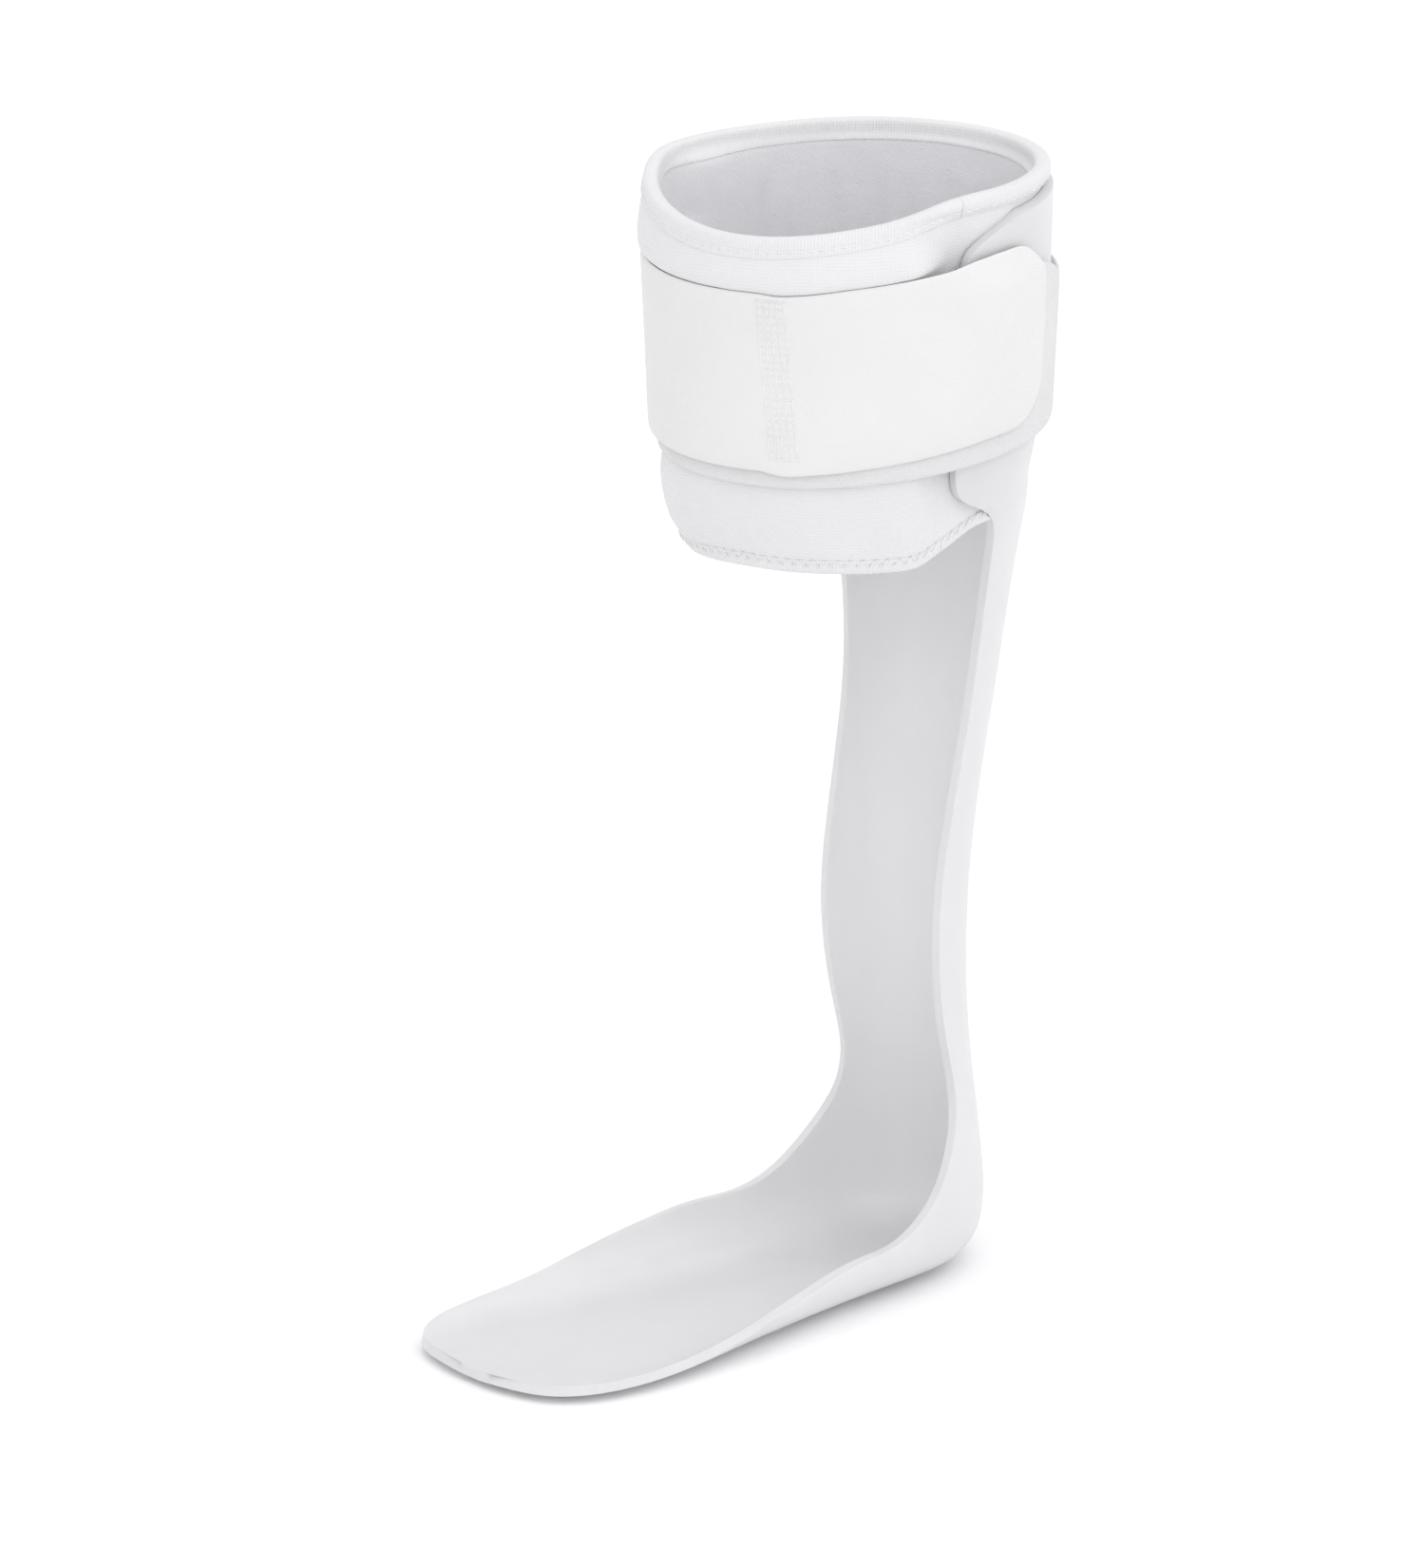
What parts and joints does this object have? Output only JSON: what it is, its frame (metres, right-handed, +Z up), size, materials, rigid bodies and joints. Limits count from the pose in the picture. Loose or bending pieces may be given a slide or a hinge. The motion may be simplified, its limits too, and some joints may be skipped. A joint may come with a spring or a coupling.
{
  "type": "ankle foot orthosis",
  "caption": "Leaf-spring ankle foot orthosis: thin plastic footplate, heel cup and calf band in one moulding, with a padded calf wrap that closes with a wide hook strap.",
  "frame": {"origin": "on the underside of the footplate, straight below the ankle", "axes": "+Z up the leg, -Y towards the toes, +X the outer side of a left foot"},
  "size_m": [0.1092, 0.1932, 0.3135],
  "materials": {
    "shell_plastic": "translucent milky polypropylene, softly glossy",
    "rivet_metal": "domed, satin",
    "pad_foam": "soft laminated foam inside the cloth",
    "pad_cloth": "smooth white knit",
    "binding_tape": "folded elastic tape with zigzag stitching",
    "hook_tape": "nylon hook tape",
    "pile_tape": "brushed loop pile",
    "strap_webbing": "closely woven webbing"
  },
  "bodies": {
    "foot": {"foot_shell": "shell_plastic"},
    "calf": {"leaf_spring": "shell_plastic", "calf_shell": "shell_plastic", "rivet_posts": "rivet_metal", "rivet_caps": "rivet_metal", "liner_hooks": "hook_tape", "back_foam": "pad_foam", "back_lining": "pad_cloth", "back_cover": "pad_cloth", "back_top_binding": "binding_tape", "back_bottom_binding": "binding_tape", "pile_band": "pile_tape", "strap_root": "strap_webbing"},
    "front_flap": {"front_foam": "pad_foam", "front_lining": "pad_cloth", "front_cover": "pad_cloth", "front_top_binding": "binding_tape", "front_bottom_binding": "binding_tape", "front_pile": "pile_tape", "strap_front": "strap_webbing"},
    "tab": {"strap_tab": "strap_webbing", "tab_hooks": "hook_tape"}
  },
  "joints": [
    {"name": "ankle_flex", "type": "hinge", "parent": "foot", "child": "calf", "pos_m": [0, 0.0415, 0.087], "axis": [1, 0, 0], "range_deg": [-8, 12], "stiffness_Nm_per_rad": 14, "deforming": ["leaf_spring"]},
    {"name": "flap_open", "type": "hinge", "parent": "calf", "child": "front_flap", "pos_m": [-0.0455, -0.0215, 0.265], "axis": [0, 0, -1], "range_deg": [0, 100]},
    {"name": "tab_peel", "type": "hinge", "parent": "front_flap", "child": "tab", "pos_m": [0.0247, -0.044, 0.268], "axis": [-0.0186, 0.0393, -0.9991], "range_deg": [0, 80]}
  ]
}
